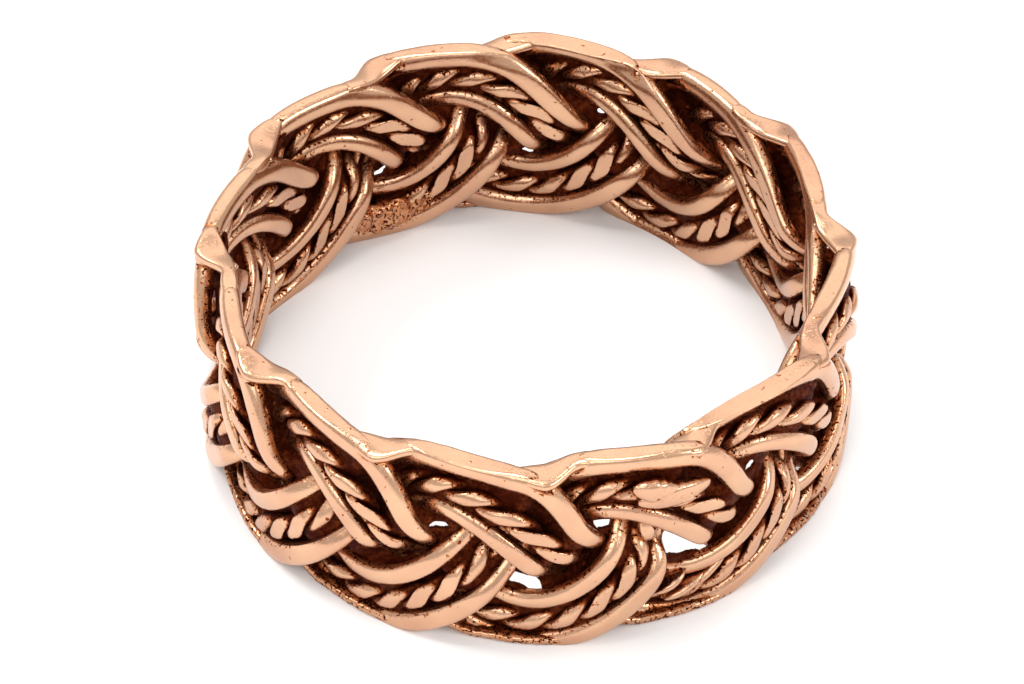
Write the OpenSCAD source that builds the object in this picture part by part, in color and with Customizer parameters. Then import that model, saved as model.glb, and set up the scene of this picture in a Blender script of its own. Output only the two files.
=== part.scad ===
// Knot ring: three strands plaited into one endless band, all lengths in millimetres.
// Each strand is a flat ribbon of three wires, a twisted rope between two plain ones.
// The ring lies on its side: +Z is the finger's axis, and z = 0 is what it rests on.

/* [Ring] */
// Radius of the finger hole
bore_r = 9.1; // [8.9:0.1:9.4]
// Height of the band along the finger's axis
band_h = 7.6; // [7.4:0.1:7.8]
// Depth ground off the upper rim of the band
top_grind = 0.08; // [0:0.01:0.16]
// Depth ground off the lower rim of the band, which it rests on
foot_grind = 0.63; // [0.3:0.01:0.66]

/* [Plait] */
// How far a strand swings out of the middle of the band's wall, and into it
weave_depth = 0.59; // [0.57:0.01:0.66]
// How much of each swing is saved for the band's middle, 0 for a plain wave
weave_lag = 0.08; // [0.04:0.01:0.12]
// How far the upper rim leans in towards the finger
rim_tuck = 0.17; // [0.1:0.01:0.2]
// How far the upper rim's wire stands off its rope after each turn
rim_spread = 0.4; // [0.2:0.05:0.45]
// Sharpness of the turns at the rims, 0 for a plain wave
turn_sharpness = 0.18; // [0.16:0.01:0.22]
// How far each turn is spread along the rim
turn_spread = 0.82; // [0.75:0.01:0.85]
// Angle of the first upper turn round the ring
first_turn_angle = -104; // [-180:1:180]

/* [Wires] */
// Distance from a strand's rope to the plain wire on each side
wire_spacing = 0.96; // [0.94:0.01:0.97]
// Width of a plain wire
plain_w = 0.7; // [0.6:0.01:0.72]
// Thickness of a plain wire through the band's wall
plain_t = 0.56; // [0.5:0.01:0.58]
// How much fuller a plain wire is where it makes the band's rim
rim_fullness = 0.3; // [0.2:0.01:0.3]
// Width of a rope across its two plies
rope_w = 0.9; // [0.8:0.01:0.92]
// Thickness of a rope through the band's wall
rope_t = 0.8; // [0.66:0.01:0.82]
// Waist of a rope between its two plies, as a share of its width
rope_waist = 0.72; // [0.6:0.01:0.9]
// Plies that show along one whole rope
rope_lobes = 68; // [60:4:88]
// How much thinner a wire is where it dives from one face to the other
dive_squeeze = 0.34; // [0.32:0.01:0.4]

/* [Seam] */
// Place of the solder on the second rope, in turns from the first one
seam_turn = 1.2; // [1:0.05:1.4]
// Length of the solder along the rope
seam_l = 1.6; // [1.2:0.1:2]
// How much wider and thicker than the rope the solder is
seam_swell = 0.1; // [0:0.01:0.12]

/* [Hidden] */

// The turns of the hand-made plait, a row each, going round the ring.
// Upper and lower turns alternate, and each strand takes every third one.
// Columns: lean round the ring in degrees, and lift along the finger's axis.
LEAN = 0;
LIFT = 1;
TURNS = [
    [1, 0.1], [-2, 0],
    [1, 0], [-1, 0.1],
    [-1, 0.4], [0, -0.1],
    [1, 0], [-3, 0.1],
    [3, 0], [0, 0],
    [2, -0.2], [1, -0.1],
    [2, 0.2], [1, 0.4],
    [-2, 0], [0, 0.4],
    [-3, -0.1], [0, 0.1],
    [-2, -0.1], [0, 0],
    [2, -0.1], [-2, -0.1],
    [2, 0], [-3, -0.1]
];

rose_gold = [0.85, 0.62, 0.5];
strand_count = 3;
half_turns = len(TURNS);
pitch_angle = 720 / half_turns;
wall_r = bore_r + 0.9;
mm_per_degree = wall_r * PI / 180;
rim_w = plain_w * (1 + rim_fullness);
turn_rise = (band_h + top_grind + foot_grind) / 2 - wire_spacing - rim_w / 2;
plait_mid = (band_h + top_grind - foot_grind) / 2;
// A strand's phase runs through 180 degrees from one of its turns to its next
loop_phase = 180 * half_turns / strand_count;
phase_per_pitch = loop_phase * pitch_angle / 360;
phase_step = 0.1;
// Spreads the rings of a wire more evenly along its length
ring_shift = 12;
plain_rings = 96;
rings_per_lobe = 3;
section_sides = 6;
// Plain wires sit flat side up, so this widens them to their stated width
flat_side = cos(180 / section_sides);
seam_strand = 1;
dive_span = 0.8;

// Height of the wave with turns of the stated sharpness, from -1 to 1
function turn_wave(t) = (cos(t) + turn_sharpness * cos(3 * t)) / (1 + turn_sharpness);

// Swing of a strand through the wall, positive outwards
function weave_wave(t) = sin(2 * t) - weave_lag * sin(4 * t);

// Row of the table for a strand's turn number i
function turn_row(strand, i) =
    let (row = (2 * strand + 3 * i) % half_turns)
    TURNS[row < 0 ? row + half_turns : row];

// Value of one column of the table at a phase, eased from turn to turn
function turn_value(strand, t, column) =
    let (
        i = floor(t / 180),
        ease = (1 - cos(t - 180 * i)) / 2
    )
    turn_row(strand, i)[column] * (1 - ease) + turn_row(strand, i + 1)[column] * ease;

// Middle of a strand on the unrolled wall: length round the ring, and height
function strand_place(strand, t) = [
    mm_per_degree * (pitch_angle * (strand + t / phase_per_pitch) + turn_value(strand, t, LEAN))
        + turn_spread * sin(2 * t),
    turn_rise * turn_wave(t) + turn_value(strand, t, LIFT) + plait_mid
];

// How nearly a plain wire is at its own rim of the band, from 0 to 1
function rim_share(side, t) = pow(max(0, side * cos(t)), 2);

// Extra room between a rope and the upper rim's wire, widest a little after each upper turn
function spread(side, t) =
    let (since_turn = t - 360 * floor(t / 360))
    side > 0 && since_turn < 60 ? rim_spread * pow(sin(3 * since_turn), 2) : 0;

// Middle of one wire of a strand: side 1 is its upper edge, 0 its rope, -1 its lower edge
function wire_place(strand, side, t) =
    let (
        here = strand_place(strand, t),
        along = strand_place(strand, t + phase_step) - strand_place(strand, t - phase_step),
        offset = side * (wire_spacing + spread(side, t)) / norm(along) * [-along.y, along.x],
        angle = first_turn_angle + (here.x + offset.x) / mm_per_degree,
        r = wall_r + weave_depth * weave_wave(t) - rim_tuck * rim_share(max(0, side), t)
    )
    [r * cos(angle), r * sin(angle), here.y + offset.y];

// Thinner near the middle of the band, where the strands dive past each other
function squeeze(t) = 1 - dive_squeeze * exp(-pow(cos(t) / dive_span, 2));

// Fuller where a plain wire is the outermost one of a turn
function fullness(side, t) = 1 + rim_fullness * rim_share(side, t);

// Grinds a point back to the finger hole and to the band's two rims
function ground(p) =
    let (
        r = norm([p.x, p.y]),
        k = max(1, bore_r / r)
    )
    [p.x * k, p.y * k, max(0, min(band_h, p.z))];

// Unit vectors across a wire: along the wall, and out through it
function section_axes(strand, side, t) =
    let (
        place = wire_place(strand, side, t),
        run = wire_place(strand, side, t + phase_step) - wire_place(strand, side, t - phase_step),
        tangent = run / norm(run),
        outward = [place.x, place.y, 0] / norm([place.x, place.y]),
        bare = outward - (outward * tangent) * tangent,
        out = bare / norm(bare)
    )
    [cross(out, tangent), out];

// Phase of a wire's ring number i out of count
function ring_phase(i, count) =
    let (t = i * loop_phase / count)
    t - ring_shift * sin(2 * t);

// How far the solder has filled the rope at a phase, from 0 to 1
function seam_fill(strand, t) =
    let (
        seam_phase = phase_per_pitch * (seam_turn - seam_strand),
        span = seam_l / 2 / mm_per_degree * loop_phase / 360
    )
    strand == seam_strand ? exp(-pow((t - seam_phase) / span, 2)) : 0;

// Half width of a rope in one direction of its section, with two plies opposite each other
function rope_lobe(angle, waist) = 1 / sqrt(pow(cos(angle), 2) + pow(sin(angle) / waist, 2));

// One closed tube through rings of section points
module tube(rings) {
    count = len(rings);
    points = [for (ring = rings) for (p = ring) p];
    faces = [
        for (i = [0:count - 1]) for (k = [0:section_sides - 1])
        let (
            j = (i + 1) % count,
            n = (k + 1) % section_sides,
            here = i * section_sides,
            next = j * section_sides
        )
        each [
            [here + k, next + k, here + n],
            [here + n, next + k, next + n]
        ]
    ];
    polyhedron(points = points, faces = faces);
}

// A plain wire of a strand, closed on itself
module plain_wire(strand, side) {
    tube([
        for (i = [0:plain_rings - 1])
        let (
            t = ring_phase(i, plain_rings),
            place = wire_place(strand, side, t),
            axes = section_axes(strand, side, t),
            size = squeeze(t) * fullness(side, t) / 2 * [plain_w / flat_side, plain_t]
        )
        [
            for (k = [0:section_sides - 1])
            let (a = 360 * (k + 0.5) / section_sides)
            ground(place + size.x * cos(a) * axes[0] + size.y * sin(a) * axes[1])
        ]
    ]);
}

// A rope of two twisted plies, one body, with the solder of the seam run into it
module rope(strand) {
    count = rope_lobes * rings_per_lobe;
    tube([
        for (i = [0:count - 1])
        let (
            t = ring_phase(i, count),
            place = wire_place(strand, 0, t),
            axes = section_axes(strand, 0, t),
            fill = seam_fill(strand, t),
            waist = rope_waist + (1 - rope_waist) * fill,
            size = squeeze(t) * (1 + seam_swell * fill) / 2 * [rope_w, rope_t]
        )
        [
            for (k = [0:section_sides - 1])
            let (
                a = 360 * k / section_sides,
                reach = rope_lobe(a + 180 * i / rings_per_lobe, waist)
            )
            ground(place + reach * (size.x * cos(a) * axes[0] + size.y * sin(a) * axes[1]))
        ]
    ]);
}

module strand_1_upper_wire() {
    color(rose_gold) plain_wire(0, 1);
}

module strand_1_rope() {
    color(rose_gold) rope(0);
}

module strand_1_lower_wire() {
    color(rose_gold) plain_wire(0, -1);
}

module strand_2_upper_wire() {
    color(rose_gold) plain_wire(1, 1);
}

module strand_2_rope() {
    color(rose_gold) rope(1);
}

module strand_2_lower_wire() {
    color(rose_gold) plain_wire(1, -1);
}

module strand_3_upper_wire() {
    color(rose_gold) plain_wire(2, 1);
}

module strand_3_rope() {
    color(rose_gold) rope(2);
}

module strand_3_lower_wire() {
    color(rose_gold) plain_wire(2, -1);
}

strand_1_upper_wire();
strand_1_rope();
strand_1_lower_wire();
strand_2_upper_wire();
strand_2_rope();
strand_2_lower_wire();
strand_3_upper_wire();
strand_3_rope();
strand_3_lower_wire();
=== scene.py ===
import math

import bpy
import numpy as np
from mathutils import Matrix, Vector
from mathutils.bvhtree import BVHTree


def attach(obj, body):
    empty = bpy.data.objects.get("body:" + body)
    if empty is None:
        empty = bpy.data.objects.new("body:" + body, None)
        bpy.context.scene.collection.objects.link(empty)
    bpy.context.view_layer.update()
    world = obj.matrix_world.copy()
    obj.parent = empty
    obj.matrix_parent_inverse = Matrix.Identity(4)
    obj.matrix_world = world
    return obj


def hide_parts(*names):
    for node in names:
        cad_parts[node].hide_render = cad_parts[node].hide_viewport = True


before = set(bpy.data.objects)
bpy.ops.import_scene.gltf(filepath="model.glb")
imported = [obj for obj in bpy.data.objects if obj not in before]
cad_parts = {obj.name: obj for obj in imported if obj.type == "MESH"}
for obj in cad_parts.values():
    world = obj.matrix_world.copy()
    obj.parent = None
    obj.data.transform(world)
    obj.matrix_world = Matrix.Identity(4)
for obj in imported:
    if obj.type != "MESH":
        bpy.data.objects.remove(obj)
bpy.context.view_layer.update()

MM = 0.001

# The plait, with the measures of the part's own source, in millimetres
BORE_R = 9.1
BAND_H = 7.6
TOP_GRIND = 0.08
FOOT_GRIND = 0.63
WEAVE_DEPTH = 0.59
WEAVE_LAG = 0.08
RIM_TUCK = 0.17
RIM_SPREAD = 0.4
TURN_SHARPNESS = 0.18
TURN_SPREAD = 0.82
FIRST_TURN = math.radians(-104)
WIRE_SPACING = 0.96
PLAIN_W = 0.7
PLAIN_T = 0.56
RIM_FULLNESS = 0.3
ROPE_LOBES = 68
DIVE_SPAN = 0.8
WALL_R = BORE_R + 0.9
RIM_W = PLAIN_W * (1 + RIM_FULLNESS)
TURN_RISE = (BAND_H + TOP_GRIND + FOOT_GRIND) / 2 - WIRE_SPACING - RIM_W / 2
PLAIT_MID = (BAND_H + TOP_GRIND - FOOT_GRIND) / 2

# Three strands go once round the ring. Each makes four turns along each rim, so a rim has 12,
# and its phase runs through half a circle from one of its turns to its next.
STRANDS = 3
TURN_COUNT = 12
PITCH_DEGREES = 30
PITCH = math.radians(PITCH_DEGREES)
LOOP = 8 * math.pi

# The turns, upper and lower ones alternately: lean round the ring in degrees, and lift
LEAN, LIFT = 0, 1
TURNS = np.array([
    [1, 0.1], [-2, 0], [1, 0], [-1, 0.1], [-1, 0.4], [0, -0.1],
    [1, 0], [-3, 0.1], [3, 0], [0, 0], [2, -0.2], [1, -0.1],
    [2, 0.2], [1, 0.4], [-2, 0], [0, 0.4], [-3, -0.1], [0, 0.1],
    [-2, -0.1], [0, 0], [2, -0.1], [-2, -0.1], [2, 0], [-3, -0.1],
])

# Where the looks differ from the plain solids: slimmer ropes, and wires thinner where they dive
ROPE_W, ROPE_T = 0.86, 0.76
DIVE_SQUEEZE = 0.06

# The faces that the wires are ground to, and the softness of their edges. The inner face
# opens out between two heights, and the upper rim dips at each fork.
INNER_FLAT_R, OUTER_FLAT_R = 9.13, 10.8
ROPE_INNER_R, ROPE_OUTER_R = 9.3, 10.78
EDGE_SOFTNESS = 0.09
RIM_CHAMFER, RIM_CHAMFER_Z = 0.3, (BAND_H - 0.9, BAND_H - 0.1)
FORK_DIP, FORK_DIP_SPAN = 0.16, 0.07

# The upper rim's wire is lifted towards the rim after a turn, fading in and out at these phases,
# and drops on its way in. The lower rim's wire is kept this high at least.
RIM_LIFT, RIM_REACH, RIM_EASE = 0.07, 0.9, 0.35
RISE_FROM, RISE_UNTIL = (-0.3, 0.2), (0.35, 0.85)
INCOMING_DROP, INCOMING_T, INCOMING_SPAN = 0.22, math.radians(-42), math.radians(17)
FOOT_MIN_H = 0.3

# The seam: a strand's rope pushed aside, with its upper wire less and its lower wire more, and
# leaves of solder by the turn and height of both ends, with radius, half width and half thickness
SEAM_BEND, SEAM_BEND_STEP, SEAM_BEND_STRAND = 0.3, 0.2, 2
SEAM_BEND_T, SEAM_BEND_SPAN = LOOP - math.radians(78), math.radians(24)
SEAM_LEAVES = [
    (1.09, 6.6, 1.4, 5.9, 10.5, 0.42, 0.27), (1.12, 5.95, 1.58, 5.85, 10.52, 0.42, 0.27),
    (1.28, 5.6, 1.52, 5.6, 10.5, 0.2, 0.26), (1.17, 4.95, 1.22, 3.9, 10.25, 0.27, 0.3),
    (1.26, 1.35, 1.46, 1.9, 10.3, 0.14, 0.3), (1.33, 0.9, 1.6, 1.5, 10.3, 0.15, 0.3),
    (1.48, 0.95, 1.78, 2.2, 10.3, 0.13, 0.3),
]
SEAM_RINGS, SEAM_POINTEDNESS, SEAM_UNEVEN, SEAM_SEED = 26, 0.55, 0.03, 5

# Rough castings over a rope: turn and height of both ends, radius, half width and half thickness
ROUGH_CASTS = [(7.12, 1.5, 7.85, 1.7, 9.55, 0.62, 0.3)]
CAST_RINGS, CAST_SIDES, CAST_POWER, CAST_POINTEDNESS = 60, 40, 2.6, 0.5
CAST_SAG, CAST_GRAIN, CAST_SEED = 0.5, 0.22, 3

# The plates of the upper rim: where they start before a fork, in radians, and end in the next
# turn's phase, their least and added half width, half thickness, depth under the rim, and how
# far their ends are sunk. Their inner and outer edges cross over at different places.
PLATE_RINGS, PLATE_RUN_UP, PLATE_END_T = 48, 0.16, math.radians(2)
PLATE_HALF_W, PLATE_ADDED_W, PLATE_HALF_T = 0.13, 0.2, 0.2
PLATE_DEPTH, PLATE_SUNK, PLATE_TAPER = 0.012, 0.14, (16, 0.02)
PLATE_WIDENS, PLATE_RISES = (0, 0.3), (0, 0.2)
PLATE_INNER_CROSSING, PLATE_OUTER_CROSSING = (-0.14, 0.12), (-0.03, 0.1)
SOLDER_POWER = 3

# The webs in the forks: start and length in radians, how far they reach into both wires,
# half width, depth under the rim, and height with what their first end adds
WEB_RINGS, WEB_START, WEB_RUN = 26, -0.035, 0.105
WEB_SINK_FIRST, WEB_SINK_LAST, WEB_EASE = 0.03, 0.06, (0.1, 0.95)
WEB_POWER, WEB_TAPER = 2.4, (6, 0.01)
WEB_HALF_W, WEB_DEPTH, WEB_H, WEB_ADDED_H = 0.3, 0.1, 0.3, 0.6

# The foot strips: reach in turns from each lower fork, radius with what the far end adds,
# half width with what is added and taken off along it, half thickness, unevenness, the gap
# under them, and the rise at the fork with its run
FOOT_RINGS, FOOT_FROM, FOOT_TO = 64, -0.06, 0.95
FOOT_R, FOOT_ADDED_R, FOOT_R_GROWS = 10.13, 0.16, (0.3, 0.7)
FOOT_HALF_W, FOOT_ADDED_W, FOOT_W_GROWS = 0.17, 0.14, (0, 0.5)
FOOT_LOST_W, FOOT_W_SHRINKS, FOOT_TAPER = 0.2, (0.78, 0.95), (8, 0.02)
FOOT_HALF_T, FOOT_UNEVEN, FOOT_GAP, FOOT_SEED = 0.15, 0.006, 0.004, 11
FOOT_RISE, FOOT_RUN = 0.3, 0.25

# The wires' sections: how full they are, half the width of a ply round its rope, and how much
# painted shade darkens the sides of a plain wire, where it lies against its neighbours, and the inside of
# a ply
SECTION_POWER, PLY_HALF_W = 0.9, 0.7
FLANK_SHADE, FLANK_ENDS, RIM_SPARED = 0.48, (0.05, 0.5), 0.9
PLY_LEAST_SHOWN, PLY_SHOWN_FROM = 0.3, (0.26, 0.56)

# How finely the wires are drawn and measured
PLAIN_RINGS, PLAIN_SIDES = 900, 24
ROPE_RINGS_PER_LOBE, PLY_SIDES = 16, 14
RING_SHIFT = math.radians(12)
PHASE_STEP, ROUTE_POINTS = 0.002, 8001
RUN_REACH, RUN_POINTS, FORK_POINTS = 1.4, 140, 600

# The sheet that fills the recesses between the wires, painted near black as shade: its thickness and
# grain, how it ends at the rims, which phases of a strand lie beside a column, over which
# distance it follows a strand, and how far below the rim it starts to lean in
FILL_COLUMNS, FILL_ROWS = 600, 56
FILL_T, FILL_GRAIN, FILL_SEED = 0.13, 0.07, 7
FILL_OVER_RIM_WIRE, FILL_TOP_GAP, FILL_FOOT_GAP = 0.3, 0.55, 0.08
FILL_WINDOW_T = np.radians(np.arange(-75, 76, 5))
FILL_BLEND, FILL_LEAN_FROM, FILL_LEAN_RUN = 0.75, 2, 1.6

# The holes left in it: turns from the first one, height, half length, half width, and tilt
# up to the right in degrees
HOLE_WOBBLE = 0.06
HOLES = [
    (11.97, 4.72, 0.3, 0.16, 10), (0.05, 5.8, 0.3, 0.16, -30), (0.97, 4.85, 0.42, 0.24, -5),
    (0.79, 7.0, 0.2, 0.08, 0), (1.93, 5.05, 0.26, 0.2, 0), (8.04, 4.95, 0.24, 0.16, 0),
    (4.0, 4.9, 0.2, 0.14, 0), (5.97, 4.85, 0.22, 0.14, 10), (9.96, 4.8, 0.3, 0.16, 0),
    (0.48, 2.42, 0.58, 0.3, -25), (1.47, 2.85, 1.1, 0.36, -30), (2.6, 2.0, 0.3, 0.16, -20),
    (6.46, 2.7, 0.24, 0.16, 0), (7.47, 2.7, 0.3, 0.18, -15), (4.5, 2.6, 0.24, 0.14, 0),
    (10.5, 2.6, 0.26, 0.14, -20),
]

# How open the wires are, which sets their patina and painted shade, is measured with rays of this
# length, from just off their surface. The other pieces have one value each.
RAY_REACH, RAY_START = 1.6, 0.015
RAYS, QUICK_RAYS = 24, 8
SOLDER_OPEN = {"rim_solder": 0.97, "foot_solder": 0.68, "seam_solder": 0.93, "rough_cast": 0.6}
# The sheet counts as hardly open, which paints it near black as shade
FILL_OPEN = 0.16


def smooth_step(x, low, high):
    k = np.clip((x - low) / (high - low), 0, 1)
    return k * k * (3 - 2 * k)


def wrapped(angle):
    """An angle brought to within half a turn of 0."""
    return np.mod(angle + math.pi, 2 * math.pi) - math.pi


def unit(v):
    return v / np.linalg.norm(v, axis=-1, keepdims=True)


def polar(angle, r, z):
    return np.stack([r * np.cos(angle), r * np.sin(angle), z], -1)


def soft_floor(x, limit, soft):
    """x kept above a limit, with a rounded corner."""
    d = x - limit
    return limit + np.where(d > soft, d, np.where(d < -soft, 0, (d + soft) ** 2 / (4 * soft)))


def soft_ceiling(x, limit, soft):
    return -soft_floor(-x, -limit, soft)


# The run of the wires
def turn_value(strand, t, column):
    """Value of one column of the table at phases t, eased from turn to turn."""
    i = np.floor(t / math.pi).astype(int)
    ease = (1 - np.cos(t - math.pi * i)) / 2
    here = TURNS[(2 * strand + 3 * i) % len(TURNS), column]
    after = TURNS[(2 * strand + 3 * (i + 1)) % len(TURNS), column]
    return here * (1 - ease) + after * ease


def strand_place(strand, t):
    """Length round the wall and height of a strand's middle, at phases t in radians."""
    wave = (np.cos(t) + TURN_SHARPNESS * np.cos(3 * t)) / (1 + TURN_SHARPNESS)
    turns = strand + STRANDS / 2 * t / math.pi
    round_wall = np.radians(PITCH_DEGREES * turns + turn_value(strand, t, LEAN))
    return (
        WALL_R * round_wall + TURN_SPREAD * np.sin(2 * t),
        TURN_RISE * wave + turn_value(strand, t, LIFT) + PLAIT_MID,
    )


def weave_wave(t):
    """Swing of a strand through the wall, positive outwards."""
    return np.sin(2 * t) - WEAVE_LAG * np.sin(4 * t)


def rim_share(side, t):
    """How nearly a plain wire is at its own rim, from 0 to 1."""
    return np.maximum(0, side * np.cos(t)) ** 2


def spread(side, t):
    """Extra room between a rope and the upper rim's wire, a little after each upper turn."""
    since_turn = np.mod(t, 2 * math.pi)
    bump = RIM_SPREAD * np.sin(3 * since_turn) ** 2
    return np.where((since_turn < math.pi / 3) & (side > 0), bump, 0)


def wire_place(strand, side, t):
    """Middle of a wire: side 1 is its strand's upper edge, 0 its rope, -1 its lower edge."""
    x, z = strand_place(strand, t)
    x1, z1 = strand_place(strand, t + PHASE_STEP)
    x0, z0 = strand_place(strand, t - PHASE_STEP)
    dx, dz = x1 - x0, z1 - z0
    offset = side * (WIRE_SPACING + spread(side, t)) / np.hypot(dx, dz)
    bend = (SEAM_BEND - SEAM_BEND_STEP * side) * (strand == SEAM_BEND_STRAND)
    bend = bend * np.exp(-(((t - SEAM_BEND_T) / SEAM_BEND_SPAN) ** 2))
    angle = FIRST_TURN + (x - offset * dz - bend) / WALL_R
    r = WALL_R + WEAVE_DEPTH * weave_wave(t) - RIM_TUCK * rim_share(max(0, side), t)
    return hug_rim(polar(angle, r, z + offset * dx), side, t)


def hug_rim(points, side, t):
    """Keeps the upper rim's wire near the ground plane after a turn, and the lower one's in sight."""
    points = points.copy()
    near = np.clip(side * np.cos(t), 0, 1) ** 0.5
    top = points[:, 2] + RIM_W / 2
    if side > 0:
        since_turn = wrapped(t)
        gap = np.maximum(BAND_H - top, 0)
        rise = near * (gap - gap ** 2 / (gap + RIM_EASE)) * np.exp(-((gap / RIM_REACH) ** 4))
        incoming = np.exp(-(((since_turn - INCOMING_T) / INCOMING_SPAN) ** 2))
        kept = smooth_step(since_turn, *RISE_FROM) * (1 - smooth_step(since_turn, *RISE_UNTIL))
        points[:, 2] += rise * kept + RIM_LIFT * near - INCOMING_DROP * incoming
    elif side < 0:
        points[:, 2] += near * np.maximum(FOOT_MIN_H - top, 0)
    return points


def rim_runs(side):
    """Angle, height, radius and phase of one rim's wire round each of its turns."""
    runs = []
    for turn in range(TURN_COUNT):
        strand = turn % STRANDS
        middle = 2 * math.pi * (turn - strand) / STRANDS + (0 if side > 0 else math.pi)
        t = middle + np.linspace(-RUN_REACH, RUN_REACH, 2 * RUN_POINTS + 1)
        x, y, z = wire_place(strand, side, t).T
        runs.append((np.unwrap(np.arctan2(y, x)), z, np.hypot(x, y), t - middle))
    return runs


def forks(runs):
    """Angle where each turn's wire passes the next one's, with the angles and radii of the wire
    that leaves and the one that comes in, and the latter's phases."""
    found = []
    for turn in range(TURN_COUNT):
        a0, z0, r0, _ = [v[RUN_POINTS:] for v in runs[turn]]
        a1, z1, r1, t1 = [v[:RUN_POINTS + 1] for v in runs[(turn + 1) % TURN_COUNT]]
        a1 = a1 + 2 * math.pi * np.round((a0.mean() - a1.mean()) / (2 * math.pi))
        a = np.linspace(max(a0[0], a1[0]), min(a0[-1], a1[-1]), FORK_POINTS)
        apart = np.interp(a, a0, z0) - np.interp(a, a1, z1)
        found.append((a[np.abs(apart).argmin()], (a0, r0), (a1, r1), t1))
    return found


UPPER_FORKS = forks(rim_runs(1))
LOWER_FORKS = forks(rim_runs(-1))


def top_plane(angle):
    """Height of the ground upper rim, which dips a little at its forks."""
    dip = 0
    for fork, *_ in UPPER_FORKS:
        dip = dip + np.exp(-((wrapped(angle - fork) / FORK_DIP_SPAN) ** 2))
    return BAND_H - FORK_DIP * dip


def ground(points, inner=INNER_FLAT_R, outer=OUTER_FLAT_R):
    """Grinds points back to the finger hole, the outer face and the two rims."""
    r = np.hypot(points[..., 0], points[..., 1])
    inner = inner + RIM_CHAMFER * smooth_step(points[..., 2], *RIM_CHAMFER_Z)
    kept = soft_ceiling(soft_floor(r, inner, EDGE_SOFTNESS), outer, EDGE_SOFTNESS)
    top = top_plane(np.arctan2(points[..., 1], points[..., 0]))
    z = soft_ceiling(soft_floor(points[..., 2], 0, EDGE_SOFTNESS), top, EDGE_SOFTNESS)
    k = kept / r
    return np.stack([points[..., 0] * k, points[..., 1] * k, z], -1)


# The wires. Each shell is a grid of points, its faces, and how much of each point is spared painted shade.
def section_axes(strand, side, t):
    """Middle of a wire, and unit vectors across it: up along the wall, and out through it."""
    place = wire_place(strand, side, t)
    after, before = wire_place(strand, side, t + PHASE_STEP), wire_place(strand, side, t - PHASE_STEP)
    along = unit(after - before)
    outward = unit(place * [1, 1, 0])
    out = unit(outward - (outward * along).sum(1, keepdims=True) * along)
    return place, np.cross(out, along), out


def squeeze(t):
    """Thinner near the middle of the band, where the strands dive past each other."""
    return 1 - DIVE_SQUEEZE * np.exp(-((np.cos(t) / DIVE_SPAN) ** 2))


def ring_phases(count):
    """Phases of a plain wire's rings, spread more evenly along its length."""
    t = np.arange(count) * LOOP / count
    return t - RING_SHIFT * np.sin(2 * t)


def even_phases(strand, count):
    """Phases of rings that lie evenly along a rope."""
    t = np.linspace(0, LOOP, ROUTE_POINTS)
    steps = np.linalg.norm(np.diff(wire_place(strand, 0, t), axis=0), axis=1)
    length = np.concatenate([[0], np.cumsum(steps)])
    return np.interp(np.arange(count) * length[-1] / count, length, t)


def bulge(wave, power):
    """A cosine or sine made fuller or leaner, with its sign kept."""
    return np.sign(wave) * np.abs(wave) ** power


def sections(middles, across, through, half_w, half_t):
    """Rings of points round a run of middles, from half sizes across and through it."""
    return (middles[:, None] + half_w[..., None] * across[:, None]
            + half_t[..., None] * through[:, None])


def tube_faces(rings, sides):
    """Quads of a tube that closes on itself."""
    i = np.arange(rings)[:, None]
    k = np.arange(sides)[None, :]
    j, n = (i + 1) % rings, (k + 1) % sides
    quads = np.stack([i * sides + k, j * sides + k, j * sides + n, i * sides + n], -1)
    return quads.reshape(-1, 4).tolist()


def plain_wire(strand, side):
    """A plain wire, fuller at its own rim and darkened with painted shade along its sides elsewhere."""
    t = ring_phases(PLAIN_RINGS)
    place, up, out = section_axes(strand, side, t)
    rim = rim_share(side, t)
    size = (squeeze(t) * (1 + RIM_FULLNESS * rim))[:, None] / 2
    a = np.arange(PLAIN_SIDES) * 2 * math.pi / PLAIN_SIDES
    x, y = bulge(np.cos(a), SECTION_POWER), bulge(np.sin(a), SECTION_POWER)
    points = sections(place, up, out, size * PLAIN_W * x, size * PLAIN_T * y)
    # Painted shade on the sides where the wire lies against its neighbours, spared at its own rim
    flank = 1 - smooth_step(np.abs(y), *FLANK_ENDS)
    shown = 1 - FLANK_SHADE * flank[None, :] * (1 - RIM_SPARED * rim[:, None])
    return [(ground(points), tube_faces(PLAIN_RINGS, PLAIN_SIDES), shown)]


def rope(strand):
    """Two plies that twist round each other."""
    count = ROPE_LOBES * ROPE_RINGS_PER_LOBE
    t = even_phases(strand, count)
    place, up, out = section_axes(strand, 0, t)
    twist = -math.pi * np.arange(count) / ROPE_RINGS_PER_LOBE
    size = squeeze(t)[:, None] / 2
    a = np.arange(PLY_SIDES) * 2 * math.pi / PLY_SIDES
    # A ply is round across its own run, so it is wider round the rope than through it
    radial, tangential = 0.5 + 0.5 * np.cos(a), PLY_HALF_W * np.sin(a)
    shells = []
    for ply in (0, 1):
        turn = (twist + math.pi * ply)[:, None]
        x = radial * np.cos(turn) - tangential * np.sin(turn)
        y = radial * np.sin(turn) + tangential * np.cos(turn)
        points = sections(place, up, out, size * ROPE_W * x, size * ROPE_T * y)
        # Painted shade where each ply lies against the other
        shown = PLY_LEAST_SHOWN + (1 - PLY_LEAST_SHOWN) * smooth_step(np.abs(y), *PLY_SHOWN_FROM)
        shells.append((ground(points, ROPE_INNER_R, ROPE_OUTER_R), tube_faces(count, PLY_SIDES), shown))
    return shells


# The solder that joins the wires, as open lofts that are closed at both ends
def lump(middles, across, through, half_w, half_t, power, sides=16):
    """Rounded sections along a run of middles, squarer with a higher power."""
    a = np.arange(sides) * 2 * math.pi / sides
    x, y = bulge(np.cos(a), 2 / power), bulge(np.sin(a), 2 / power)
    return sections(middles, across, through, half_w[:, None] * x, half_t[:, None] * y)


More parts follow.
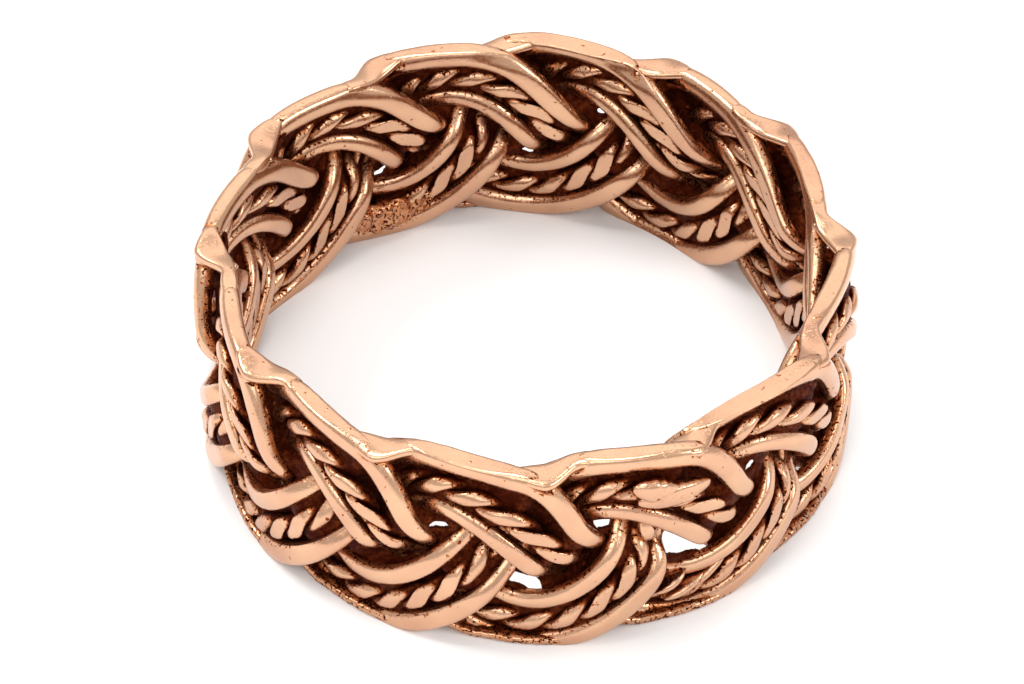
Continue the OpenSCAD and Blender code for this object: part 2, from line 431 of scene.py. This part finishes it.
def loft(points):
    """Points and faces of an open run of sections, closed by a point at each end."""
    rings, sides = points.shape[:2]
    flat = np.concatenate([points.reshape(-1, 3), points[:1].mean(1), points[-1:].mean(1)])
    k = np.arange(sides)
    n = (k + 1) % sides
    i = (np.arange(rings - 1) * sides)[:, None]
    quads = np.stack([i + k, i + sides + k, i + sides + n, i + n], -1).reshape(-1, 4)
    first, last = rings * sides, rings * sides + 1
    start = np.stack([np.full(sides, first), k, n], 1)
    end = np.stack([np.full(sides, last), (rings - 1) * sides + n, (rings - 1) * sides + k], 1)
    return flat, quads.tolist() + start.tolist() + end.tolist()


def tapered(u, steepness, least):
    """Full size along the middle of a run from 0 to 1, and rounded off at its two ends."""
    return np.minimum(1, np.sqrt(np.minimum(u, 1 - u) * steepness + least))


def outwards(angle):
    return polar(angle, 1, 0 * angle)


def upwards(angle):
    return np.tile([0.0, 0.0, 1.0], (len(angle), 1))


def rim_plate(fork, leaving, coming, coming_t):
    """A ground plate that runs on from one turn of the upper rim to the next."""
    end = np.interp(PLATE_END_T, coming_t, coming[0])
    u = np.linspace(0, 1, PLATE_RINGS)
    angle = fork - PLATE_RUN_UP + (end - fork + PLATE_RUN_UP) * u
    past, from_end = angle - fork, np.minimum(u, 1 - u)
    from_r, to_r = np.interp(angle, *leaving), np.interp(angle, *coming)
    half = PLATE_HALF_W + PLATE_ADDED_W * smooth_step(from_end, *PLATE_WIDENS)
    ease = smooth_step(past, *PLATE_INNER_CROSSING)
    inner = (from_r - half) * (1 - ease) + (to_r - half) * ease
    ease = smooth_step(past, *PLATE_OUTER_CROSSING)
    outer = (from_r + half) * (1 - ease) + (to_r + half) * ease
    taper = tapered(u, *PLATE_TAPER)
    half_w, half_t = (outer - inner) / 2 * taper, PLATE_HALF_T * taper
    sunk = PLATE_SUNK * (1 - smooth_step(from_end, *PLATE_RISES))
    middles = polar(angle, (inner + outer) / 2, top_plane(angle) - PLATE_DEPTH - half_t - sunk)
    points = lump(middles, outwards(angle), upwards(angle), half_w, half_t, SOLDER_POWER)
    return loft(ground(points))


def fork_web(fork, leaving, coming):
    """The rounded web in the crotch of a fork, from one wire's flank to the other's face."""
    u = np.linspace(0, 1, WEB_RINGS)
    angle = fork + WEB_START + WEB_RUN * u
    ease = smooth_step(u, *WEB_EASE)
    first_r, last_r = np.interp(fork, *leaving) - WEB_SINK_FIRST, np.interp(angle, *coming) + WEB_SINK_LAST
    r = first_r * (1 - ease) + last_r * ease
    height = WEB_H + WEB_ADDED_H * (1 - u) ** 2
    taper = tapered(u, *WEB_TAPER)
    half_w, half_t = WEB_HALF_W * taper, height / 2 * taper
    middles = polar(angle, r, top_plane(angle) - WEB_DEPTH - height / 2)
    return loft(lump(middles, outwards(angle), upwards(angle), half_w, half_t, WEB_POWER))


def rim_solder():
    """The ground metal that joins turn to turn along the upper rim, and the webs in its forks."""
    parts = []
    for fork, leaving, coming, coming_t in UPPER_FORKS:
        parts += [rim_plate(fork, leaving, coming, coming_t), fork_web(fork, leaving, coming)]
    return parts


def foot_solder():
    """The thin ground foot under the part of each lower turn that comes in from the inner face."""
    parts = []
    rough = np.random.default_rng(FOOT_SEED)
    for fork, *_ in LOWER_FORKS:
        x = np.linspace(FOOT_FROM, FOOT_TO, FOOT_RINGS)
        angle = fork + PITCH * x
        taper = tapered(np.linspace(0, 1, FOOT_RINGS), *FOOT_TAPER)
        half_t = (FOOT_HALF_T + rough.normal(0, FOOT_UNEVEN, len(x))) * taper
        added_w, lost_w = smooth_step(x, *FOOT_W_GROWS), smooth_step(x, *FOOT_W_SHRINKS)
        half_w = FOOT_HALF_W + FOOT_ADDED_W * added_w - FOOT_LOST_W * lost_w
        half_w = (half_w + rough.normal(0, FOOT_UNEVEN, len(x))) * taper
        r = FOOT_R + FOOT_ADDED_R * smooth_step(x, *FOOT_R_GROWS)
        low = FOOT_RISE * (1 - smooth_step(np.abs(x), 0, FOOT_RUN))
        middles = polar(angle, r, low + half_t + FOOT_GAP)
        points = lump(middles, outwards(angle), upwards(angle), half_w, half_t, SOLDER_POWER)
        parts.append(loft(points))
    return parts


def pointed(u, pointedness):
    """Full size halfway along a run from 0 to 1, and nearly nothing at its ends."""
    return np.sin(math.pi * (0.02 + 0.96 * u)) ** pointedness


def seam_solder():
    """Leaves of solder squashed over the wires where the plait was closed."""
    parts = []
    rough = np.random.default_rng(SEAM_SEED)
    for turn_0, z_0, turn_1, z_1, r, half_w, half_t in SEAM_LEAVES:
        u = np.linspace(0, 1, SEAM_RINGS)
        angle = FIRST_TURN + PITCH * (turn_0 + (turn_1 - turn_0) * u)
        middles = polar(angle, r, z_0 + (z_1 - z_0) * u)
        out = outwards(angle)
        across = np.cross(out, unit(np.gradient(middles, axis=0)))
        shape = pointed(u, SEAM_POINTEDNESS)
        width = half_w * shape * (1 + rough.normal(0, SEAM_UNEVEN, len(u)))
        points = lump(middles, across, out, width, half_t * shape, SOLDER_POWER)
        parts.append(loft(ground(points)))
    return parts


def smoothed(grain, axes):
    """Random bumps, each averaged with its neighbours along the stated axes in turn."""
    for axis in axes:
        grain = (np.roll(grain, 1, axis) + grain + np.roll(grain, -1, axis)) / 3
    return grain


def rough_casts():
    """Uneven metal that hides a stretch of a rope on the finger side."""
    parts = []
    rough = np.random.default_rng(CAST_SEED)
    for turn_0, z_0, turn_1, z_1, r, half_w, half_t in ROUGH_CASTS:
        u = np.linspace(0, 1, CAST_RINGS)
        angle = FIRST_TURN + PITCH * (turn_0 + (turn_1 - turn_0) * u)
        middles = polar(angle, r, z_0 + (z_1 - z_0) * u - CAST_SAG * np.sin(math.pi * u))
        out, shape = outwards(angle), pointed(u, CAST_POINTEDNESS)
        half_w, half_t = half_w * shape, half_t * shape
        points = lump(middles, upwards(angle), out, half_w, half_t, CAST_POWER, CAST_SIDES)
        grain = CAST_GRAIN * smoothed(rough.normal(0, 1, points.shape[:2]), (0, 1, 0, 1))
        parts.append(loft(ground(points + grain[..., None] * out[:, None])))
    return parts


# The sheet in the recesses, drawn in columns round the wall and rows up it
def envelope(runs, around, choose, start):
    """Highest or lowest middle of a rim's wires at each angle round the ring."""
    edge = np.full(len(around), float(start))
    for angle, z, _, _ in runs:
        apart = wrapped(around - angle.mean()) + angle.mean()
        order = np.argsort(angle)
        there = np.interp(apart, angle[order], z[order], left=start, right=start)
        edge = choose(edge, there)
    return edge


def strands_beside(column):
    """Length round the wall, height and swing of each strand, near each column of the sheet."""
    lines = []
    for strand in range(STRANDS):
        t = (column - strand) * 2 * math.pi / STRANDS
        window = t[:, None] + FILL_WINDOW_T[None, :]
        x, z = strand_place(strand, window.ravel())
        swing = WEAVE_DEPTH * weave_wave(window)
        lines.append((x.reshape(window.shape), z.reshape(window.shape), swing))
    return lines


def pierce(x, z):
    """Draws the points round each hole onto its edge, in place. Returns which points are kept,
    and a share of grain for each, which is none at an edge."""
    nearest, hem = np.full(z.shape, 9.0), np.ones(z.shape)
    lap = 2 * math.pi * WALL_R
    for turn, height, half_l, half_w, tilt in HOLES:
        dx = np.mod(x - turn * WALL_R * PITCH + lap / 2, lap) - lap / 2
        dz = z - height
        c, s = math.cos(math.radians(tilt)), math.sin(math.radians(tilt))
        a, b = (c * dx + s * dz) / half_l, (-s * dx + c * dz) / half_w
        wobble = 1 + HOLE_WOBBLE * np.sin(3 * np.arctan2(b, a) + turn * 5)
        reach = np.hypot(a, b) / wobble
        inside = reach <= 1
        beside = inside.copy()
        for i in (-1, 0, 1):
            for j in (-1, 0, 1):
                beside |= np.roll(inside, (i, j), (0, 1))
        rim = beside & ~inside
        x[rim] += dx[rim] * (1 / reach[rim] - 1)
        z[rim] += dz[rim] * (1 / reach[rim] - 1)
        nearest = np.where(rim, 2, np.minimum(nearest, reach))
        hem[rim] = 0
    return nearest > 1, hem


def woven_radius(x, z, lines):
    """Radius of the sheet, which follows the swing of the strands nearest to each point."""
    total, weight = np.zeros(z.shape), np.full(z.shape, 1e-6)
    for line_x, line_z, swing in lines:
        d2 = (line_x[:, None, :] - x[:, :, None]) ** 2 + (line_z[:, None, :] - z[:, :, None]) ** 2
        nearest = d2.argmin(2)
        d = np.sqrt(np.take_along_axis(d2, nearest[..., None], 2)[..., 0])
        share = np.exp(-((d / FILL_BLEND) ** 4)) + 1e-4
        total = total + share * np.take_along_axis(swing, nearest, 1)
        weight = weight + share
    lean_in = np.clip((z - BAND_H + FILL_LEAN_FROM) / FILL_LEAN_RUN, 0, 1)
    return WALL_R + total / weight - RIM_TUCK * lean_in


def fill_sheet():
    """Both faces of a thin rough sheet in the middle of the plait, and which points are kept."""
    column = np.arange(FILL_COLUMNS) / FILL_COLUMNS * TURN_COUNT
    around = FIRST_TURN + PITCH * column
    top = envelope(rim_runs(1), around, np.maximum, 0) + FILL_OVER_RIM_WIRE
    top = np.minimum(top, BAND_H - FILL_TOP_GAP)
    bottom = np.maximum(envelope(rim_runs(-1), around, np.minimum, BAND_H), FILL_FOOT_GAP)
    z = bottom[:, None] + (top - bottom)[:, None] * np.linspace(0, 1, FILL_ROWS)[None, :]
    x = (column * WALL_R * PITCH)[:, None] + 0 * z
    kept, hem = pierce(x, z)
    r = woven_radius(x, z, strands_beside(column))
    rough = np.random.default_rng(FILL_SEED)
    grain = smoothed(rough.normal(0, FILL_GRAIN, z.shape), (0, 1)) * hem
    angle = FIRST_TURN + x / WALL_R
    return [polar(angle, r + half + grain, z) for half in (FILL_T / 2, -FILL_T / 2)], kept


def sheet_part(shells, kept):
    """Points and faces of the sheet, closed by walls along its two edges and its holes."""
    index = np.arange(kept.size).reshape(kept.shape)
    after = np.roll(index, -1, 0)
    face_kept = kept & np.roll(kept, -1, 0)
    face_kept = face_kept[:, :-1] & face_kept[:, 1:]
    quads = np.stack([index[:, :-1], after[:, :-1], after[:, 1:], index[:, 1:]], -1)[face_kept]
    edges = {}
    for a, b, c, d in quads.tolist():
        for start, end in ((a, b), (b, c), (c, d), (d, a)):
            if (end, start) in edges:
                del edges[(end, start)]
            else:
                edges[(start, end)] = True
    shift = kept.size
    walls = np.array([[b, a, a + shift, b + shift] for a, b in edges])
    faces = np.concatenate([quads, quads[:, ::-1] + shift, walls])
    points = np.concatenate([shell.reshape(-1, 3) for shell in shells])
    used = np.unique(faces)
    remap = np.zeros(len(points), int)
    remap[used] = np.arange(len(used))
    return points[used], remap[faces].tolist()


# How open the wires are, which decides how dark their patina and painted shade are
def joined(parts):
    """Points and faces of several parts, each numbered after the one before."""
    points, faces, start = [], [], 0
    for grid, polygons, *_ in parts:
        flat = grid.reshape(-1, 3)
        points.append(flat)
        faces += [[i + start for i in polygon] for polygon in polygons]
        start += len(flat)
    return np.concatenate(points), faces


def ray_directions(count):
    """Unit vectors over a half sphere, closer together towards its pole."""
    spiral = np.arange(count) + 0.5
    spin = spiral * math.pi * (3 - math.sqrt(5))
    across = np.sqrt(spiral / count)
    return np.stack([across * np.cos(spin), across * np.sin(spin), np.sqrt(1 - spiral / count)], 1)


def grid_normals(grid):
    """Outward unit normals of a tube's rings of points."""
    along = np.roll(grid, -1, 0) - np.roll(grid, 1, 0)
    across = np.roll(grid, -1, 1) - np.roll(grid, 1, 1)
    normal = np.cross(along, across)
    normal = normal / np.maximum(np.linalg.norm(normal, axis=-1, keepdims=True), 1e-12)
    outward = grid - grid.mean(1, keepdims=True)
    return normal * np.sign((outward * normal).sum((0, 1, 2)))


def free_reach(tree, grid, directions):
    """How far rays from each point of a tube get, from 0 to 1. Every second point along and
    round it is measured, and the ones between are averaged."""
    points, normal = grid[::2, ::2], grid_normals(grid)[::2, ::2]
    helper = np.where(np.abs(normal[..., 2:]) < 0.8, [[[0, 0, 1.0]]], [[[1.0, 0, 0]]])
    side = unit(np.cross(normal, helper))
    other = np.cross(normal, side)
    starts = (points + normal * RAY_START).reshape(-1, 3).tolist()
    value = np.zeros(points.shape[:2])
    for d in directions:
        ways = (d[0] * side + d[1] * other + d[2] * normal).reshape(-1, 3).tolist()
        hits = [tree.ray_cast(start, way, RAY_REACH)[3] for start, way in zip(starts, ways)]
        far = np.array([1.0 if hit is None else hit / RAY_REACH for hit in hits])
        value += far.reshape(value.shape)
    value /= len(directions)
    full = np.zeros(grid.shape[:2])
    full[::2, ::2] = value
    full[1::2, ::2] = (value + np.roll(value, -1, 0)) / 2
    full[:, 1::2] = (full[:, ::2] + np.roll(full[:, ::2], -1, 1)) / 2
    return full


# Materials. Noises by their scale, detail and roughness.
SPECKLE_NOISE, PATCH_NOISE = (4200, 4, 0.6), (900, 3, 0.5)
PIT_NOISE, RARE_PIT_NOISE = (9500, 2, 0.6), (4800, 1, 0.4)
TINT_NOISE, SMEAR_NOISE = (480, 3, 0.5), (1500, 3, 0.5)

# What speckle and patches add to how open a point is, and how much of the sum is taken off as tarnish and
# painted shade
SPECKLE_ADDED, PATCH_ADDED, TARNISH_AND_SHADE = 0.38, 0.22, 0.29

# Where the pits are, how strong they are by how open a point is, and where the rare ones are
BLACK, WHITE = (0, 0, 0), (1, 1, 1)
PIT_STOPS = [(0.55, BLACK), (0.62, WHITE)]
PIT_STRENGTH_STOPS = [(0.6, WHITE), (0.95, (0.15,) * 3)]
RARE_PIT_STOPS = [(0.735, BLACK), (0.76, (0.5,) * 3)]

# From black oxide through brown stain to clean metal, which also paints shade where a point is hemmed in,
# and the roughness of the first two
OXIDE_AND_SHADE_STOPS = [
    (0.12, (0.08, 0.018, 0.01)),
    (0.31, (0.3, 0.11, 0.05)),
    (0.46, (0.63, 0.35, 0.2)),
    (0.61, (0.88, 0.66, 0.48)),
    (0.76, WHITE),
]
OXIDE_ROUGHNESS, STAIN_ROUGHNESS, SMEAR = 0.6, 0.42, 0.08
BUMP_STRENGTH, BUMP_DISTANCE = 0.5, 0.06 * MM
MIX_FACTOR, MIX_A, MIX_B, MIX_RESULT = 0, 6, 7, 2


def node_of(tree, kind, **settings):
    node = tree.nodes.new(kind)
    for key, value in settings.items():
        setattr(node, key, value)
    return node


def gold_material(name, base, warm, rough):
    """Rose gold of two tints, with dark oxide and painted shade where the attribute open is low."""
    material = bpy.data.materials.new(name)
    material.use_nodes = True
    tree = material.node_tree
    tree.nodes.clear()
    link = tree.links.new
    out = node_of(tree, "ShaderNodeOutputMaterial")
    shader = node_of(tree, "ShaderNodeBsdfPrincipled")
    link(shader.outputs[0], out.inputs[0])
    place = node_of(tree, "ShaderNodeTexCoord").outputs["Object"]

    def noise(scale, detail, roughness):
        node = node_of(tree, "ShaderNodeTexNoise")
        node.inputs["Scale"].default_value = scale
        node.inputs["Detail"].default_value = detail
        node.inputs["Roughness"].default_value = roughness
        link(place, node.inputs["Vector"])
        return node.outputs["Fac"]

    def math_node(operation, *values, clamp=False):
        node = node_of(tree, "ShaderNodeMath", operation=operation, use_clamp=clamp)
        for socket, value in zip(node.inputs, values):
            if isinstance(value, (int, float)):
                socket.default_value = value
            else:
                link(value, socket)
        return node.outputs[0]

    def ramp(factor, stops):
        node = node_of(tree, "ShaderNodeValToRGB")
        elements = node.color_ramp.elements
        while len(elements) < len(stops):
            elements.new(0.5)
        for element, (at, colour) in zip(elements, stops):
            element.position = at
            element.color = (*colour, 1)
        link(factor, node.inputs[0])
        return node.outputs[0]

    opened = node_of(tree, "ShaderNodeAttribute", attribute_name="open").outputs["Fac"]
    speckle = noise(*SPECKLE_NOISE)
    shifted = math_node("MULTIPLY_ADD", speckle, SPECKLE_ADDED, opened)
    shifted = math_node("MULTIPLY_ADD", noise(*PATCH_NOISE), PATCH_ADDED, shifted)
    pits, strength = ramp(noise(*PIT_NOISE), PIT_STOPS), ramp(opened, PIT_STRENGTH_STOPS)
    rare = ramp(noise(*RARE_PIT_NOISE), RARE_PIT_STOPS)
    worn = math_node("MULTIPLY_ADD", pits, strength, rare)
    # Low values are oxide and painted shade, where a point is hemmed in by other wires
    clean_and_lit = math_node("SUBTRACT", math_node("SUBTRACT", shifted, TARNISH_AND_SHADE), worn, clamp=True)

    # Colour: the metal's own tint, multiplied by its age and by painted shade
    colour = node_of(tree, "ShaderNodeMix", data_type="RGBA", blend_type="MULTIPLY")
    colour.inputs[MIX_FACTOR].default_value = 1
    link(ramp(noise(*TINT_NOISE), [(0.3, base), (0.7, warm)]), colour.inputs[MIX_A])
    link(ramp(clean_and_lit, OXIDE_AND_SHADE_STOPS), colour.inputs[MIX_B])
    link(colour.outputs[MIX_RESULT], shader.inputs["Base Color"])
    shader.inputs["Metallic"].default_value = 1

    levels = ((0.25, OXIDE_ROUGHNESS), (0.5, STAIN_ROUGHNESS), (0.68, rough))
    gloss = ramp(clean_and_lit, [(at, (level,) * 3) for at, level in levels])
    smear = math_node("MULTIPLY_ADD", noise(*SMEAR_NOISE), SMEAR, gloss)
    link(smear, shader.inputs["Roughness"])

    height = math_node("MULTIPLY", math_node("SUBTRACT", 1.0, clean_and_lit, clamp=True), speckle)
    bump = node_of(tree, "ShaderNodeBump")
    bump.inputs["Strength"].default_value = BUMP_STRENGTH
    bump.inputs["Distance"].default_value = BUMP_DISTANCE
    link(height, bump.inputs["Height"])
    link(bump.outputs[0], shader.inputs["Normal"])
    return material


PLAIN_GOLD = gold_material("plain_gold", (0.58, 0.318, 0.202), (0.686, 0.41, 0.253), 0.18)
ROPE_GOLD = gold_material("rope_gold", (0.57, 0.313, 0.199), (0.676, 0.405, 0.25), 0.23)


# The pieces
def add_piece(name, parts, opened, material):
    """An object of several parts in millimetres, with how open each of its points is."""
    points, faces = joined(parts)
    mesh = bpy.data.meshes.new(name)
    mesh.from_pydata((points * MM).tolist(), [], faces)
    mesh.polygons.foreach_set("use_smooth", [True] * len(mesh.polygons))
    mesh.update()
    layer = mesh.attributes.new("open", "FLOAT", "POINT")
    layer.data.foreach_set("value", np.broadcast_to(opened, len(points)).astype(np.float32))
    mesh.materials.append(material)
    piece = bpy.data.objects.new(name, mesh)
    bpy.context.scene.collection.objects.link(piece)
    return piece


wires = {}
for strand in range(STRANDS):
    wires[f"strand_{strand + 1}_upper_wire"] = plain_wire(strand, 1)
    wires[f"strand_{strand + 1}_rope"] = rope(strand)
    wires[f"strand_{strand + 1}_lower_wire"] = plain_wire(strand, -1)
solder = {
    "rim_solder": rim_solder(),
    "foot_solder": foot_solder(),
    "seam_solder": seam_solder(),
    "rough_cast": rough_casts(),
}
fill = sheet_part(*fill_sheet())
everything = [shell for shells in wires.values() for shell in shells] + [fill]
everything += [part for parts in solder.values() for part in parts]
all_points, all_faces = joined(everything)
tree = BVHTree.FromPolygons(all_points.tolist(), all_faces)
directions = ray_directions(RAYS)

for name, shells in wires.items():
    opened = [free_reach(tree, grid, directions) * shown for grid, _, shown in shells]
    is_rope = name.endswith("rope")
    material = ROPE_GOLD if is_rope else PLAIN_GOLD
    piece = add_piece(name + "_shown", shells, np.concatenate(opened).ravel(), material)
    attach(piece, "root")
    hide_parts(name)

for name, parts in solder.items():
    piece = add_piece(name, parts, SOLDER_OPEN[name], PLAIN_GOLD)
    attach(piece, "root")

# A near-black sheet of painted shade in the recesses
recess_shade_sheet = add_piece("recess_shade_sheet", [fill], FILL_OPEN, ROPE_GOLD)
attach(recess_shade_sheet, "root")

# Floor, light and camera
PAPER, PAPER_ROUGHNESS = (0.92, 0.92, 0.92, 1), 0.7
floor_mesh = bpy.data.meshes.new("floor")
floor_mesh.from_pydata([(-1, -1, 0), (1, -1, 0), (1, 1, 0), (-1, 1, 0)], [], [(0, 1, 2, 3)])
floor = bpy.data.objects.new("floor", floor_mesh)
bpy.context.scene.collection.objects.link(floor)
paper = bpy.data.materials.new("paper")
paper.use_nodes = True
paper_shader = paper.node_tree.nodes["Principled BSDF"]
paper_shader.inputs["Base Color"].default_value = PAPER
paper_shader.inputs["Roughness"].default_value = PAPER_ROUGHNESS
floor_mesh.materials.append(paper)

WORLD_STRENGTH = 0.8
world = bpy.data.worlds.new("world")
bpy.context.scene.world = world
world.use_nodes = True
background = world.node_tree.nodes["Background"]
background.inputs["Color"].default_value = (1, 1, 1, 1)
background.inputs["Strength"].default_value = WORLD_STRENGTH

# Softboxes that face the ring: name, place and size in metres, and power in watts
SOFTBOXES = [
    ("key", (-0.18, 0.06, 0.24), (0.12, 0.08), 0.32),
    ("fill", (0.22, -0.1, 0.16), (0.1, 0.1), 0.2),
    ("back", (0, 0.22, 0.22), (0.4, 0.16), 0.19),
    ("top", (0, 0.02, 0.3), (0.12, 0.12), 0.32),
    ("front", (-0.06, -0.24, 0.26), (0.3, 0.16), 0.34),
]
for name, place, size, power in SOFTBOXES:
    lamp = bpy.data.lights.new(name, "AREA")
    lamp.shape = "RECTANGLE"
    lamp.size, lamp.size_y = size
    lamp.energy = power
    holder = bpy.data.objects.new(name, lamp)
    bpy.context.scene.collection.objects.link(holder)
    holder.location = place
    holder.rotation_mode = "QUATERNION"
    holder.rotation_quaternion = (-Vector(place)).to_track_quat("-Z", "Y")

# The camera's distance, its angle above the floor and its roll, and the point that it looks at
CAMERA_D, CAMERA_E, CAMERA_ROLL = 148.37 * MM, math.radians(44.364), math.radians(-0.918)
CAMERA_TARGET = Vector((-0.436, 0, 3.111)) * MM
FOCAL_PX, FRAME_W, SENSOR_W = 4519.4, 1024, 36
forward = Vector((0, math.cos(CAMERA_E), -math.sin(CAMERA_E)))
level_right = Vector((1, 0, 0))
level_up = level_right.cross(forward)
right = level_right * math.cos(CAMERA_ROLL) - level_up * math.sin(CAMERA_ROLL)
up = level_right * math.sin(CAMERA_ROLL) + level_up * math.cos(CAMERA_ROLL)
camera_data = bpy.data.cameras.new("camera")
camera_data.sensor_width = SENSOR_W
camera_data.lens = FOCAL_PX / FRAME_W * SENSOR_W
camera_data.clip_start, camera_data.clip_end = 0.01, 10
camera = bpy.data.objects.new("camera", camera_data)
bpy.context.scene.collection.objects.link(camera)
turned = Matrix((right, up, -forward)).transposed().to_4x4()
camera.matrix_world = Matrix.Translation(CAMERA_TARGET - forward * CAMERA_D) @ turned
bpy.context.scene.camera = camera
bpy.context.scene.view_settings.view_transform = "Standard"
